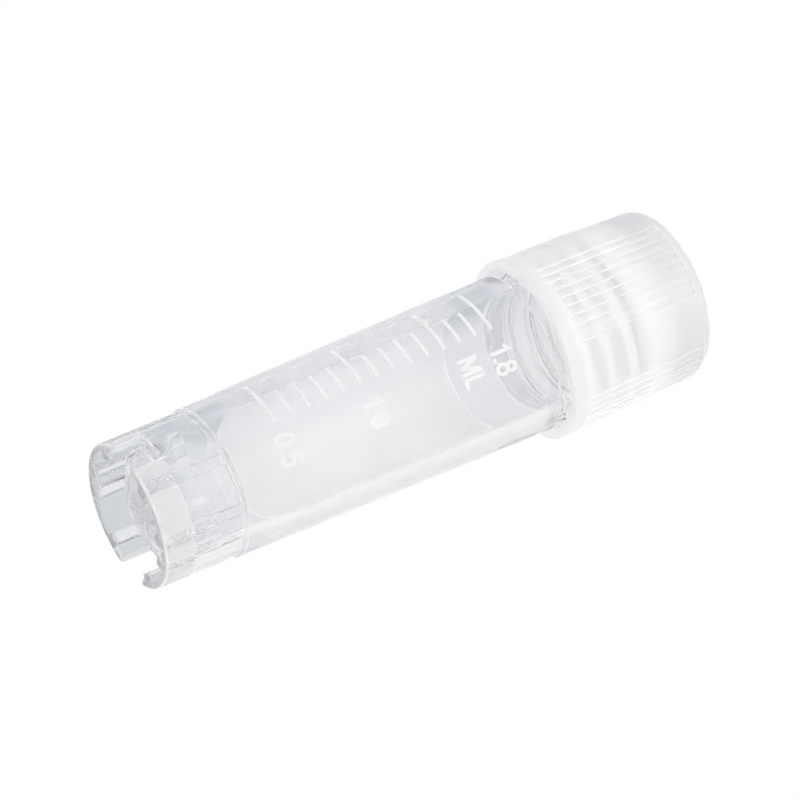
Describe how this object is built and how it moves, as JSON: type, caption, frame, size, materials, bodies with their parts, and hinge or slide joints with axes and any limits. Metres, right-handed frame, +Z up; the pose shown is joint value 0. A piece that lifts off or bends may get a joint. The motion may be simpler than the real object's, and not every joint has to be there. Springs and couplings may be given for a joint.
{
  "type": "cryogenic vial",
  "caption": "Small clear screw-cap tube with a rounded bottom in a notched standing foot, a ribbed translucent cap and a sealing washer, for freezing samples.",
  "frame": {"origin": "centre of the foot's end, on the tube's axis", "axes": "+Z up the tube's axis towards the cap; -Y is the side with the volume scale"},
  "size_m": [0.0146, 0.0146, 0.0491],
  "materials": {
    "clear_polypropylene": "clear, smooth",
    "translucent_polypropylene": "natural, milky",
    "silicone": "matt white"
  },
  "bodies": {
    "tube": {"vial_tube": "clear_polypropylene"},
    "seal": {"seal_gasket": "silicone"},
    "cap": {"screw_cap": "translucent_polypropylene"}
  },
  "joints": [
    {"name": "cap_rise", "type": "slide", "parent": "tube", "child": "seal", "axis": [0, 0, 1], "range_m": [0, 0.0078]},
    {"name": "cap_turn", "type": "hinge", "parent": "seal", "child": "cap", "pos_m": [0, 0, 0.042], "axis": [0, 0, 1], "range_deg": [0, 1440]}
  ],
  "couplings": [
    {"joint": "cap_turn", "follows": "cap_rise", "rad_per_m": 3222.1}
  ]
}
